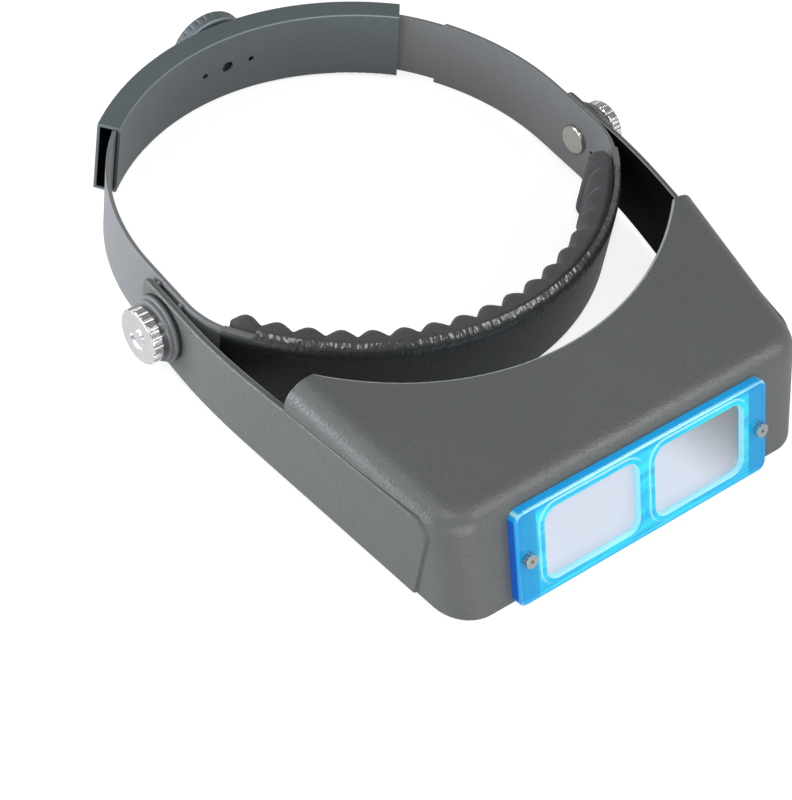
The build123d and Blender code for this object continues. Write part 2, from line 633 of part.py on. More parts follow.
def make_lens(side):
    """A plano-convex lens: flat in front, resting on the shoulder, and convex behind."""
    bulge = FACE.offset(-LENS_SEAT - RUN - LENS_MIDDLE + LENS_BULGE_RADIUS)
    middle = bulge.location * Location((side * WINDOW_X, WINDOW_V, 0))
    with BuildPart() as lens:
        with BuildSketch(FACE.offset(-LENS_SEAT - RUN)):
            with Locations((side * WINDOW_X, WINDOW_V)):
                RectangleRounded(WINDOW_LENGTH + 2 - 2 * LENS_PLAY,
                                 WINDOW_HEIGHT + 2 - 2 * LENS_PLAY, WINDOW_CORNER + 1)
        extrude(amount=-LENS_MIDDLE)
        with Locations(middle):
            Sphere(LENS_BULGE_RADIUS, mode=Mode.INTERSECT)
    return lens.part


save(make_lens(1), "lens_right")
save(make_lens(-1), "lens_left")

NUT_RADIUS = 2.6
NUT_HEIGHT = 2.5
STUD_FRONT = 1.8         # the stud ends inside the nut, in front of the plate's face
STUD_BACK = -11.0
STUD_HEAD_RADIUS, STUD_HEAD_HEIGHT = 2.8, 1.3
KNURL_HEIGHT = 1.1       # knurled band next to the plate
GROOVE_HEIGHT = 0.3      # between the knurled band and the nut's front disc
DIMPLE_RADIUS = 0.7

for side, end in ((1, "right"), (-1, "left")):
    with BuildPart() as lens_stud:
        with BuildSketch(FACE.offset(STUD_BACK)):
            with Locations((side * LENS_STUD_X, 0)):
                Circle(LENS_STUD_RADIUS)
        extrude(amount=STUD_FRONT - STUD_BACK)
        with BuildSketch(FACE.offset(STUD_BACK)):
            with Locations((side * LENS_STUD_X, 0)):
                Circle(STUD_HEAD_RADIUS)
        extrude(amount=STUD_HEAD_HEIGHT)
    save(lens_stud.part, f"lens_stud_{end}")

    with BuildPart() as lens_nut:
        with BuildSketch(FACE.offset(RUN)):
            with Locations((side * LENS_STUD_X, 0)):
                Circle(NUT_RADIUS - 0.2)
        extrude(amount=KNURL_HEIGHT)
        with BuildSketch(FACE.offset(RUN + KNURL_HEIGHT)):
            with Locations((side * LENS_STUD_X, 0)):
                Circle(NUT_RADIUS - 0.7)
        extrude(amount=GROOVE_HEIGHT)
        with BuildSketch(FACE.offset(RUN + KNURL_HEIGHT + GROOVE_HEIGHT)):
            with Locations((side * LENS_STUD_X, 0)):
                Circle(NUT_RADIUS)
        extrude(amount=NUT_HEIGHT - KNURL_HEIGHT - GROOVE_HEIGHT)
        with BuildSketch(FACE):
            with Locations((side * LENS_STUD_X, 0)):
                Circle(LENS_STUD_RADIUS + RUN)
        extrude(amount=STUD_FRONT + RUN, mode=Mode.SUBTRACT)
        with BuildSketch(FACE):
            with Locations((side * LENS_STUD_X, 0)):
                Circle(DIMPLE_RADIUS)
        extrude(amount=NUT_HEIGHT + 1, mode=Mode.SUBTRACT)
    save(lens_nut.part, f"lens_nut_{end}")
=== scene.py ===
import json
from math import acos, asin, cos, pi, radians, sin, sqrt

import bmesh
import bpy
from mathutils import Matrix, Vector, noise

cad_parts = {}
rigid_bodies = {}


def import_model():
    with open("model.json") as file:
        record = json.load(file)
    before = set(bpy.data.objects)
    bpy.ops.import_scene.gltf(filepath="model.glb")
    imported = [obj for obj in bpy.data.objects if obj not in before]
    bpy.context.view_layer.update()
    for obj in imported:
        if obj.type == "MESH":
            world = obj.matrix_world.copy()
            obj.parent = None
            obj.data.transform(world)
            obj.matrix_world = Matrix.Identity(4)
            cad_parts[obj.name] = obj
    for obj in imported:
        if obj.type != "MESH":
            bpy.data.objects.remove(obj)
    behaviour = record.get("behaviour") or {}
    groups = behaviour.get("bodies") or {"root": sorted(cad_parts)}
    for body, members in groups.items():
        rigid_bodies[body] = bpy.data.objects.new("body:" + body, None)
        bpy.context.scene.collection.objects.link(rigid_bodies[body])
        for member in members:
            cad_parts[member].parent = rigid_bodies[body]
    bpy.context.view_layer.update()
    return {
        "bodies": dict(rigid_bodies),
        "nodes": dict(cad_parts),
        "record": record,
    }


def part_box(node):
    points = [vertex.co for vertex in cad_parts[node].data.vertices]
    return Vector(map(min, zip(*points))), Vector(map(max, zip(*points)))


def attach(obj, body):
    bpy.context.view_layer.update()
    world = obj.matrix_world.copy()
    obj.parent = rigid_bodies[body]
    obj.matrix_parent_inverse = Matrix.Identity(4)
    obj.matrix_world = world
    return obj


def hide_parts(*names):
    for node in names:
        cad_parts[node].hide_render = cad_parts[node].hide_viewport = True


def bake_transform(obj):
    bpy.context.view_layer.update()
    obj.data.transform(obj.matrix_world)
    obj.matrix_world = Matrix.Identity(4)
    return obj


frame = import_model()
nodes = frame["nodes"]
scene = bpy.context.scene

MM = 0.001

# The brow curve that the strip, the foam and the cover follow -----------------------------

BROW_RADIUS = 110.0 * MM       # outer face of the strip over the brow
TEMPLE_RADIUS = 34.0 * MM      # outer face of the strip towards the temples
STRIP_THICKNESS = 1.5 * MM
PAD_GAP = 0.3 * MM             # between the strip and the foam or the cover

strip_low, strip_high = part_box("band_front")
TEMPLE_X = strip_high.x
BROW_CENTRE_Y = strip_low.y + BROW_RADIUS
CORNER_X = TEMPLE_X - TEMPLE_RADIUS
BROW_TURN = asin(CORNER_X / (BROW_RADIUS - TEMPLE_RADIUS))
CORNER_Y = BROW_CENTRE_Y - (BROW_RADIUS - TEMPLE_RADIUS) * cos(BROW_TURN)


def brow_frame(along):
    """Point and outward normal on the strip's outer face, at a distance along it from the middle."""
    side = 1 if along >= 0 else -1
    brow_length = BROW_RADIUS * BROW_TURN
    if abs(along) <= brow_length:
        turn = abs(along) / BROW_RADIUS
        centre, radius = Vector((0, BROW_CENTRE_Y, 0)), BROW_RADIUS
    else:
        turn = BROW_TURN + (abs(along) - brow_length) / TEMPLE_RADIUS
        centre, radius = Vector((side * CORNER_X, CORNER_Y, 0)), TEMPLE_RADIUS
    normal = Vector((side * sin(turn), -cos(turn), 0))
    return centre + normal * radius, normal


def along_at(y):
    """Distance along the strip from the middle at which its outer face reaches that Y, near a temple."""
    turn = acos((CORNER_Y - y) / TEMPLE_RADIUS)
    return BROW_RADIUS * BROW_TURN + TEMPLE_RADIUS * (turn - BROW_TURN)


# Mesh helpers -----------------------------------------------------------------------------


def add_piece(name, mesh, sharp_angle=None):
    """Makes an object from a bmesh, smooth except where faces meet more sharply than an angle."""
    bmesh.ops.recalc_face_normals(mesh, faces=mesh.faces)
    for face in mesh.faces:
        face.smooth = True
    if sharp_angle is not None:
        for edge in mesh.edges:
            edge.smooth = len(edge.link_faces) == 2 and edge.calc_face_angle() < sharp_angle
    data = bpy.data.meshes.new(name)
    mesh.to_mesh(data)
    mesh.free()
    piece = bpy.data.objects.new(name, data)
    scene.collection.objects.link(piece)
    return piece


def swept(rings):
    """A closed mesh through rings of points, each ring with the same number, capped at both ends."""
    mesh = bmesh.new()
    loops = [[mesh.verts.new(point) for point in ring] for ring in rings]
    for near, far in zip(loops, loops[1:]):
        for i in range(len(near)):
            j = (i + 1) % len(near)
            mesh.faces.new((near[i], near[j], far[j], far[i]))
    mesh.faces.new(loops[0])
    mesh.faces.new(loops[-1])
    return mesh


def rounded_section(width, height, corner, steps):
    """Points round a rectangle with round corners, centred on zero, as (across, up) pairs.
    The straight stretches are cut up too, so that the section can be shaped afterwards."""
    points = []
    for cx, cz, start in ((1, 1, 0), (-1, 1, 1), (-1, -1, 2), (1, -1, 3)):
        middle = (cx * (width / 2 - corner), cz * (height / 2 - corner))
        for i in range(steps + 1):
            angle = (start + i / steps) * pi / 2
            points.append((middle[0] + corner * cos(angle), middle[1] + corner * sin(angle)))
        if start in (0, 2):
            straight, sign = width - 2 * corner, -cx
            for i in range(1, steps):
                points.append((points[-1][0] + sign * straight / steps, points[-1][1]))
        else:
            straight, sign = height - 2 * corner, -cz
            for i in range(1, 3 * steps):
                points.append((points[-1][0], points[-1][1] + sign * straight / (3 * steps)))
    return points


# Foam pad and its leatherette cover ---------------------------------------------------------

FLUTE_PITCH = 12.0 * MM        # along the strip
FLUTE_DEPTH = 3.7 * MM
FLUTE_SOFTNESS = 0.012         # rounds off the bottoms of the flutes
FLUTE_TOP = 1.05               # just past the wave's top, so that the crowns sink a little too
FLUTE_SQUEEZE = 0.035          # share of the pad's height lost in a flute, which scallops its edges
FOAM_THICKNESS = 9.5 * MM
FOAM_CORNER = 2.4 * MM
FOAM_END_ROUND = 5.2 * MM      # length over which the pad's ends round off
FOAM_END_SQUEEZE = 0.10        # share of the pad's height lost at its very ends
FOAM_END_LEAST = 0.04          # share of the thickness left there
FOAM_STEP = 0.55 * MM
FOAM_LUMPS = ((220, 0.16 * MM), (700, 0.06 * MM))    # noise rate per metre and depth
CRINKLE_STEP = 0.22 * MM
CRINKLE_DEPTH = 0.30 * MM
CRINKLE_LEAST = 0.08           # share of the crinkling that even the smooth parts keep
COVER_WALL = 1.2 * MM
COVER_INNER = 1.6 * MM         # inset of the lip's inner edge from the strip's outer face
COVER_FOOT = 1.0 * MM          # rounding of the cover's lower outer edge
LIP_DROP = 4.2 * MM            # height of the cover's rounded upper lip
LIP_SLOPE, LIP_ROLL = 0.55, 0.45    # shares of that drop that slope evenly and that roll over
BACKING_EDGE = 0.5 * MM        # of the cover above the strip, beyond the ends of the lip


def foam_pad():
    """Corrugated foam: upright flutes on the face against the brow, which scallop its upper edge."""
    low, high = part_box("comfort_pad")
    inset_near = STRIP_THICKNESS + PAD_GAP
    height = high.z - low.z
    middle_z = (high.z + low.z) / 2
    end = along_at(high.y)
    count = int(2 * end / FOAM_STEP)
    section = rounded_section(FOAM_THICKNESS, height, FOAM_CORNER, 6)
    rings = []
    for i in range(count + 1):
        along = -end + 2 * end * i / count
        point, normal = brow_frame(along)
        past = max(0.0, abs(along) - (end - FOAM_END_ROUND)) / FOAM_END_ROUND
        taper = max(FOAM_END_LEAST, sqrt(max(0.0, 1 - past * past)))
        dip = FLUTE_TOP - sqrt(sin(pi * along / FLUTE_PITCH) ** 2 + FLUTE_SOFTNESS)
        valley = FLUTE_DEPTH * dip * taper
        ring = []
        for across, up in section:
            share = (across + FOAM_THICKNESS / 2) / FOAM_THICKNESS
            depth = across * taper + FOAM_THICKNESS / 2 - valley * share**1.5
            squeeze = 1 - FOAM_END_SQUEEZE * (1 - taper) - FLUTE_SQUEEZE * dip * share
            position = point - normal * (inset_near + depth)
            position.z = middle_z + up * squeeze
            lump = sum(noise.noise(position * rate) * most for rate, most in FOAM_LUMPS)
            ring.append(position - normal * lump)
        rings.append(ring)
    piece = add_piece("foam_pad", swept(rings))
    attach(piece, "headband")
    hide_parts("comfort_pad")
    return piece


def cover_section():
    """Across the brow cover, as (inset, height, gather) triples: a channel that opens inwards.
    Its upper lip slopes and then rolls over. Gather is how much the leatherette crinkles there."""
    low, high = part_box("pad_cover")
    outer, inner = -PAD_GAP - COVER_WALL, COVER_INNER
    hollow_low, hollow_high = strip_low.z - PAD_GAP, strip_high.z + PAD_GAP
    points = []
    lip_steps, wall_steps, under_steps = 16, 14, 5
    for i in range(lip_steps + 1):
        share = sin(i / lip_steps * pi / 2)
        drop = LIP_DROP * (LIP_SLOPE * share + LIP_ROLL * share**6)
        points.append((inner + (outer - inner) * share, high.z - drop, 1.0 - 0.5 * (i / lip_steps) ** 2))
    wall_top, wall_foot = high.z - LIP_DROP, low.z + COVER_FOOT
    for i in range(1, wall_steps + 1):
        share = i / wall_steps
        gather = max(CRINKLE_LEAST, 0.5 - 2 * share)
        points.append((outer, wall_top + (wall_foot - wall_top) * share, gather))
    for i in range(1, under_steps + 1):
        turn = i / under_steps * pi / 2
        inset = outer + COVER_FOOT * (1 - cos(turn))
        points.append((inset, wall_foot - COVER_FOOT * sin(turn), CRINKLE_LEAST))
    points.append((inner, low.z, CRINKLE_LEAST))
    points.append((inner, hollow_low, 0.0))
    points.append((outer + COVER_WALL, hollow_low, 0.0))
    points.append((outer + COVER_WALL, (hollow_low + hollow_high) / 2, 0.0))
    points.append((outer + COVER_WALL, hollow_high, 0.0))
    points.append((inner, hollow_high, 0.0))
    return points


def crinkle(along, inset, height):
    """Fine creases and longer folds of the gathered leatherette, nearly all of them sunk below zero."""
    fine = noise.noise(Vector((along / (0.8 * MM), inset / (3.0 * MM), height / (4.0 * MM))))
    fold = noise.noise(Vector((along / (2.1 * MM), inset / (3.0 * MM) + 7, height / (6 * MM))))
    return 0.7 * (1 - 2 * abs(fold)) + 0.4 * fine - 0.75


def brow_cover():
    """Leatherette folded over the strip. Its lip is gathered into crinkles and stops short of the
    foam's ends, where only the flat backing goes on."""
    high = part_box("pad_cover")[1]
    lip_end = along_at(high.y)
    end = along_at(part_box("comfort_pad")[1].y)
    bare_top = strip_high.z + BACKING_EDGE
    count = int(2 * end / CRINKLE_STEP)
    section = cover_section()
    rings = []
    for i in range(count + 1):
        along = -end + 2 * end * i / count
        point, normal = brow_frame(along)
        ring = []
        for inset, height, gather in section:
            lift = (height - high.z) / LIP_DROP + 1
            outward = normal if lift < 0 else (normal * (1 - lift) + Vector((0, 0, lift))).normalized()
            position = point - normal * inset
            position.z = height
            if abs(along) > lip_end:
                position.z = min(height, bare_top)
            elif gather:
                position += outward * (CRINKLE_DEPTH * gather * crinkle(along, inset, height))
            ring.append(position)
        rings.append(ring)
    piece = add_piece("brow_cover", swept(rings), radians(70))
    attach(piece, "headband")
    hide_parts("pad_cover")
    return piece


# Band strip: each half of the front is one piece with the tail behind it, cut across near the hinge

BEND_START_Y, BEND_END_Y, BEND_CUTS = 3.0 * MM, 15.4 * MM, 9
WELD = 0.002 * MM              # points closer than this are made one
SEAM_WELD = 0.02 * MM          # the same, where the front and the tail are drawn together


def half_strip(side, end):
    """One half of the strip and its tail, welded where the tail's hinge is and cut across several times
    there.
    """
    mesh = bmesh.new()
    mesh.from_mesh(nodes["band_front"].data)
    everything = mesh.verts[:] + mesh.edges[:] + mesh.faces[:]
    bmesh.ops.bisect_plane(mesh, geom=everything, plane_co=(0, 0, 0), plane_no=(side, 0, 0),
                           clear_inner=True)
    mesh.from_mesh(nodes[f"band_tail_{end}"].data)
    bmesh.ops.remove_doubles(mesh, verts=mesh.verts, dist=WELD)
    front_end = strip_high.y
    tail_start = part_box(f"band_tail_{end}")[0].y
    seam = (front_end + tail_start) / 2
    gap = tail_start - front_end
    at_seam = [v for v in mesh.verts if abs(v.co.y - seam) < gap * 0.6]
    seam_set = set(at_seam)
    between = [f for f in mesh.faces if all(v in seam_set for v in f.verts)]
    bmesh.ops.delete(mesh, geom=between, context="FACES_ONLY")
    for vert in at_seam:
        vert.co.y = seam
    bmesh.ops.remove_doubles(mesh, verts=at_seam, dist=SEAM_WELD)
    open_edges = [e for e in mesh.edges if len(e.link_faces) == 1 and abs(e.verts[0].co.x) < 1e-6]
    bmesh.ops.holes_fill(mesh, edges=open_edges)
    for i in range(BEND_CUTS):
        y = BEND_START_Y + (BEND_END_Y - BEND_START_Y) * i / (BEND_CUTS - 1)
        near = [f for f in mesh.faces if min(v.co.y for v in f.verts) < y < max(v.co.y for v in f.verts)]
        near_parts = set(near)
        for face in near:
            near_parts.update(face.verts)
            near_parts.update(face.edges)
        if abs(y - seam) > 0.05 * MM:
            bmesh.ops.bisect_plane(mesh, geom=list(near_parts), plane_co=(0, y, 0), plane_no=(0, 1, 0))
    piece = add_piece(f"strip_{end}", mesh, radians(28))
    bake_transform(piece)
    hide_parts(f"band_tail_{end}")
    return piece


# Materials ----------------------------------------------------------------------------------

FACE_TILT = radians(19.2)      # the lens plate leans back at the top
PLATE_UP = Vector((0, sin(FACE_TILT), cos(FACE_TILT)))
PLATE_OUT = Vector((0, -cos(FACE_TILT), sin(FACE_TILT)))
PLATE_HALF_LENGTH, PLATE_HALF_HEIGHT = 58.5 * MM, 19.3 * MM
TAB_LENGTH = 9.0 * MM          # of the plate, at each end, outside the windows
HEAD_Y = 25.8 * MM             # centre of the visor's concave rear edge
SLEEVE_CENTRE_Y = -3.0 * MM    # centre of the rear sleeve's arc
SLEEVE_IN, SLEEVE_OUT = 105.0 * MM, 114.0 * MM    # radii of its inner and outer faces
SLEEVE_WALL = 1.3 * MM
LIP_END_Y = -32.0 * MM         # where the cover's lip ends


class Finish:
    """A procedural material: a Principled shader and short calls for the nodes that feed it."""

    def __init__(self, name, **values):
        self.material = bpy.data.materials.new(name)
        self.material.use_nodes = True
        self.tree = self.material.node_tree
        self.shader = self.tree.nodes["Principled BSDF"]
        coordinates = self.new("TexCoord")
        self.place = coordinates.outputs["Object"]
        self.faces = coordinates.outputs["Normal"]
        self.set(**values)

    def new(self, kind):
        return self.tree.nodes.new("ShaderNode" + kind)

    def put(self, socket, value):
        """Joins a socket to a node's output, or gives it a plain value."""
        if isinstance(value, bpy.types.NodeSocket):
            self.tree.links.new(value, socket)
        elif isinstance(value, tuple) and len(value) == 3 and socket.type == "RGBA":
            socket.default_value = (*value, 1)
        else:
            socket.default_value = value

    def set(self, **values):
        for name, value in values.items():
            self.put(self.shader.inputs[name.replace("_", " ")], value)

    def maths(self, operation, a, b=0.0, clamp=False):
        node = self.new("Math")
        node.operation = operation
        node.use_clamp = clamp
        self.put(node.inputs[0], a)
        self.put(node.inputs[1], b)
        return node.outputs[0]

    def vector(self, operation, a, b=None):
        node = self.new("VectorMath")
        node.operation = operation
        self.put(node.inputs[0], a)
        if b is not None:
            self.put(node.inputs[1], b)
        return node.outputs["Value" if operation in ("DOT_PRODUCT", "LENGTH") else "Vector"]

    def noise(self, size, detail=3.0, stretch=(1, 1, 1)):
        """Smooth noise whose features are about size across, drawn out by stretch."""
        node = self.new("TexNoise")
        self.put(node.inputs["Vector"], self.vector("DIVIDE", self.place, stretch))
        node.inputs["Scale"].default_value = 1 / size
        node.inputs["Detail"].default_value = detail
        return node.outputs["Fac"]

    def cells(self, size, feature="SMOOTH_F1"):
        node = self.new("TexVoronoi")
        node.feature = feature
        self.put(node.inputs["Vector"], self.place)
        node.inputs["Scale"].default_value = 1 / size
        return node.outputs["Distance"]

    def spread(self, value, low, high):
        """Moves a value from 0..1 to low..high."""
        node = self.new("MapRange")
        self.put(node.inputs["Value"], value)
        node.inputs["To Min"].default_value = low
        node.inputs["To Max"].default_value = high
        return node.outputs["Result"]

    def band(self, value, low, high):
        """0 below low, 1 above high, smooth in between."""
        node = self.new("MapRange")
        node.interpolation_type = "SMOOTHSTEP"
        self.put(node.inputs["Value"], value)
        node.inputs["From Min"].default_value = low
        node.inputs["From Max"].default_value = high
        return node.outputs["Result"]

    def mix(self, factor, a, b):
        node = self.new("Mix")
        node.data_type = "RGBA"
        self.put(node.inputs["Factor"], factor)
        colour_a, colour_b = [socket for socket in node.inputs if socket.enabled][1:]
        self.put(colour_a, a)
        self.put(colour_b, b)
        return [socket for socket in node.outputs if socket.enabled][0]

    def toward(self, direction):
        """How squarely the surface faces a direction: 1 when it does, -1 when it faces away."""
        return self.vector("DOT_PRODUCT", self.faces, tuple(direction))

    def bump(self, height, depth, normal=None):
        node = self.new("Bump")
        self.put(node.inputs["Height"], height)
        node.inputs["Distance"].default_value = depth
        if normal is not None:
            self.put(node.inputs["Normal"], normal)
        return node.outputs["Normal"]

    def rounding(self, radius):
        """The normal of edges rounded off to a radius, and a mask that is 1 along those edges."""
        bevel = self.new("Bevel")
        bevel.samples = 6
        bevel.inputs["Radius"].default_value = radius
        true_normal = self.new("NewGeometry").outputs["Normal"]
        turned = self.vector("DOT_PRODUCT", bevel.outputs["Normal"], true_normal)
        mask = self.maths("MULTIPLY", self.maths("SUBTRACT", 1.0, turned), 6.0, clamp=True)
        return bevel.outputs["Normal"], mask


def shade(colour, factor):
    return tuple(min(1.0, c * factor) for c in colour)


def inward_shade(finish):
    """1 on the faces of the visor that look in towards the head or down, 0 elsewhere: where painted shade
    goes.
    """
    sideways = finish.new("SeparateXYZ")
    finish.put(sideways.inputs[0], finish.place)
    side = finish.maths("SIGN", sideways.outputs["X"])
    across = finish.maths("MULTIPLY", finish.maths("MULTIPLY", finish.toward((1, 0, 0)), side), -1.0)
    back = finish.toward(-PLATE_OUT)
    down = finish.toward((0, 0, -1))
    return finish.band(finish.maths("MAXIMUM", finish.maths("MAXIMUM", across, back), down), 0.45, 0.75)


def rim_highlight_mask(finish):
    """1 on the visor's rounded edges that look up and in towards the head, 0 elsewhere: the place of a
    painted highlight.
    """
    home = finish.vector("SUBTRACT", (0, HEAD_Y, 0), finish.place)
    flat = finish.vector("MULTIPLY", home, (1, 1, 0))
    squarely = finish.vector("DOT_PRODUCT", finish.faces, finish.vector("NORMALIZE", flat))
    inwards = finish.band(squarely, 0.06, 0.25)
    return finish.maths("MULTIPLY", inwards, finish.band(finish.toward((0, 0, 1)), 0.1, 0.35))


def sleeve_hollow_shade(finish):
    """1 on the walls of the sleeve's hollow, 0 outside it: where painted shade goes."""
    low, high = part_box("rear_sleeve")
    middle = Vector((0, SLEEVE_CENTRE_Y, (low.z + high.z) / 2))
    offset = finish.vector("SUBTRACT", finish.place, tuple(middle))
    radius = finish.vector("LENGTH", finish.vector("MULTIPLY", offset, (1, 1, 0)))
    height = finish.maths("ABSOLUTE", finish.vector("DOT_PRODUCT", offset, (0, 0, 1)))
    near, far = SLEEVE_IN + SLEEVE_WALL, SLEEVE_OUT - SLEEVE_WALL
    half_hollow = (high.z - low.z) / 2 - SLEEVE_WALL
    past_near = finish.band(radius, near - 0.4 * MM, near - 0.1 * MM)
    before_far = finish.band(radius, far + 0.4 * MM, far + 0.1 * MM)
    within_height = finish.band(height, half_hollow + 0.3 * MM, half_hollow + 0.1 * MM)
    return finish.maths("MULTIPLY", finish.maths("MULTIPLY", past_near, before_far), within_height)


# Colour of the painted shade on the visor's inner faces and in the sleeve's hollow.
SHADE_BLACK = (0.008, 0.008, 0.009)


def moulded(name, colour, roughness, grain, depth, edge, edge_wear_highlight=1.7, shade_mask=None, rim_highlight=1.0):
    """Moulded plastic with a fine leather grain and slow colour changes, lighter along its edges,
    partly as rubbed wear and partly as a painted highlight. Where the shade mask gives 1, it's matt and
    nearly black, as painted shade. The rim strength brightens the rounded edges next to the head as a
    painted highlight."""
    finish = Finish(name)
    normal, worn_and_highlit_edges = finish.rounding(edge)
    slow = finish.noise(34 * MM, 2)
    speck = finish.noise(0.5 * MM, 2)
    base = finish.mix(slow, shade(colour, 0.94), shade(colour, 1.10))
    base = finish.mix(finish.band(speck, 0.42, 0.68), base, shade(colour, 0.84))
    # Lighter along the edges: partly rubbed wear, partly a painted highlight.
    base = finish.mix(worn_and_highlit_edges, base, shade(colour, edge_wear_highlight))
    fine_pits = finish.maths("MULTIPLY", finish.noise(grain * 0.6), 0.8)
    pits = finish.maths("ADD", finish.cells(grain), fine_pits)
    rough = finish.spread(finish.noise(9 * MM, 4), roughness - 0.05, roughness + 0.07)
    # Painted highlight on the rounded edges next to the head.
    if rim_highlight > 1:
        base = finish.mix(rim_highlight_mask(finish), base, shade(colour, rim_highlight))
    # Painted shade: where the mask gives 1, the colour goes nearly black and matt.
    if shade_mask is not None:
        shade_amount = shade_mask(finish)
        base = finish.mix(shade_amount, base, SHADE_BLACK)
        finish.set(Specular_IOR_Level=finish.spread(shade_amount, 0.5, 0.03))
    finish.set(Base_Color=base, Roughness=rough)
    finish.set(Normal=finish.bump(pits, depth, normal))
    return finish.material


def foam(name):
    """Matt foam rubber with fine, darker pores."""
    finish = Finish(name, Specular_IOR_Level=0.3, Sheen_Weight=0.25, Sheen_Roughness=0.5)
    pores = finish.noise(0.45 * MM, 3)
    slow = finish.noise(12 * MM, 3)
    base = finish.mix(slow, (0.050, 0.049, 0.054), (0.078, 0.076, 0.083))
    base = finish.mix(finish.band(pores, 0.55, 0.75), base, (0.022, 0.022, 0.025))
    creases = finish.noise(2.2 * MM, 4, (1, 1, 2.5))
    normal = finish.bump(pores, 0.05 * MM, finish.bump(creases, 0.25 * MM))
    finish.set(Base_Color=base, Roughness=finish.spread(slow, 0.72, 0.88), Normal=normal)
    return finish.material


def leatherette(name):
    """Dark leatherette with a fine crackle between soft creases, polished on its upper lip, where a
    lighter colour is a painted sheen.
    """
    finish = Finish(name, Specular_IOR_Level=0.35, Coat_Roughness=0.20)
    height = finish.vector("DOT_PRODUCT", finish.place, (0, 0, 1))
    lip = finish.band(height, strip_high.z - 2.4 * MM, strip_high.z - 0.6 * MM)
    crackle = finish.cells(0.9 * MM, "F1")
    creases = finish.noise(1.6 * MM, 4)
    slow = finish.noise(20 * MM, 2)
    base = finish.mix(slow, (0.011, 0.013, 0.014), (0.020, 0.022, 0.023))
    # Lighter on the lip: a painted sheen; the coat below makes the lip glossy.
    base = finish.mix(lip, base, (0.038, 0.040, 0.040))
    backward = finish.vector("DOT_PRODUCT", finish.place, (0, 1, 0))
    backing_ends = finish.band(backward, LIP_END_Y - 0.2 * MM, LIP_END_Y)
    # Light grey on the up-facing bare backing beyond the lip's ends: a painted highlight.
    bare_edge_highlight = finish.maths("MULTIPLY", backing_ends, finish.band(finish.toward((0, 0, 1)), 0.5, 0.8))
    base = finish.mix(bare_edge_highlight, base, (0.16, 0.16, 0.165))
    finish.set(Coat_Weight=finish.spread(lip, 0.08, 1.0))
    normal = finish.bump(crackle, 0.10 * MM, finish.bump(creases, 0.12 * MM))
    finish.set(Base_Color=base, Roughness=finish.spread(creases, 0.28, 0.50), Normal=normal)
    return finish.material


def metal(name, colour, roughness):
    """Plated metal with faint scratches, slight smears and softened edges."""
    finish = Finish(name, Metallic=1.0)
    normal, worn_and_highlit_edges = finish.rounding(0.25 * MM)
    smear = finish.noise(3 * MM, 4)
    base = finish.mix(smear, shade(colour, 0.94), shade(colour, 1.05))
    # Lighter along the edges: partly wear, partly a painted highlight.
    base = finish.mix(finish.maths("MULTIPLY", worn_and_highlit_edges, 0.4), base, shade(colour, 1.2))
    lines = finish.noise(0.35 * MM, 2, (1, 12, 1))
    finish.set(Base_Color=base, Roughness=finish.spread(smear, roughness, roughness + 0.06))
    finish.set(Normal=finish.bump(lines, 0.003 * MM, normal))
    return finish.material


def rubber(name):
    """Black rubber with a faint bloom."""
    finish = Finish(name, Specular_IOR_Level=0.35)
    normal, worn_and_highlit_edges = finish.rounding(0.3 * MM)
    bloom = finish.noise(4 * MM, 4)
    base = finish.mix(bloom, (0.012, 0.012, 0.014), (0.030, 0.030, 0.033))
    # Lighter along the edges: partly wear, partly a painted highlight.
    base = finish.mix(worn_and_highlit_edges, base, (0.07, 0.07, 0.075))
    finish.set(Base_Color=base, Roughness=finish.spread(bloom, 0.42, 0.6))
    finish.set(Normal=finish.bump(finish.noise(0.5 * MM), 0.02 * MM, normal))
    return finish.material


def from_plate_middle(finish):
    """Place on the lens plate, measured from its middle."""
    low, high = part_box("lens_frame")
    return finish.vector("SUBTRACT", finish.place, tuple((low + high) / 2))


def light_passes(finish, share):
    """Lets a share of the light through to what lies behind, instead of a hard shadow."""
    path = finish.new("LightPath")
    clear = finish.new("BsdfTransparent")
    clear.inputs["Color"].default_value = (0.85, 0.95, 1.0, 1)
    mixer = finish.new("MixShader")
    output = finish.tree.nodes["Material Output"]
    factor = finish.maths("MULTIPLY", path.outputs["Is Shadow Ray"], share)
    finish.put(mixer.inputs[0], factor)
    finish.put(mixer.inputs[1], finish.shader.outputs[0])
    finish.put(mixer.inputs[2], clear.outputs[0])
    finish.put(output.inputs["Surface"], mixer.outputs[0])


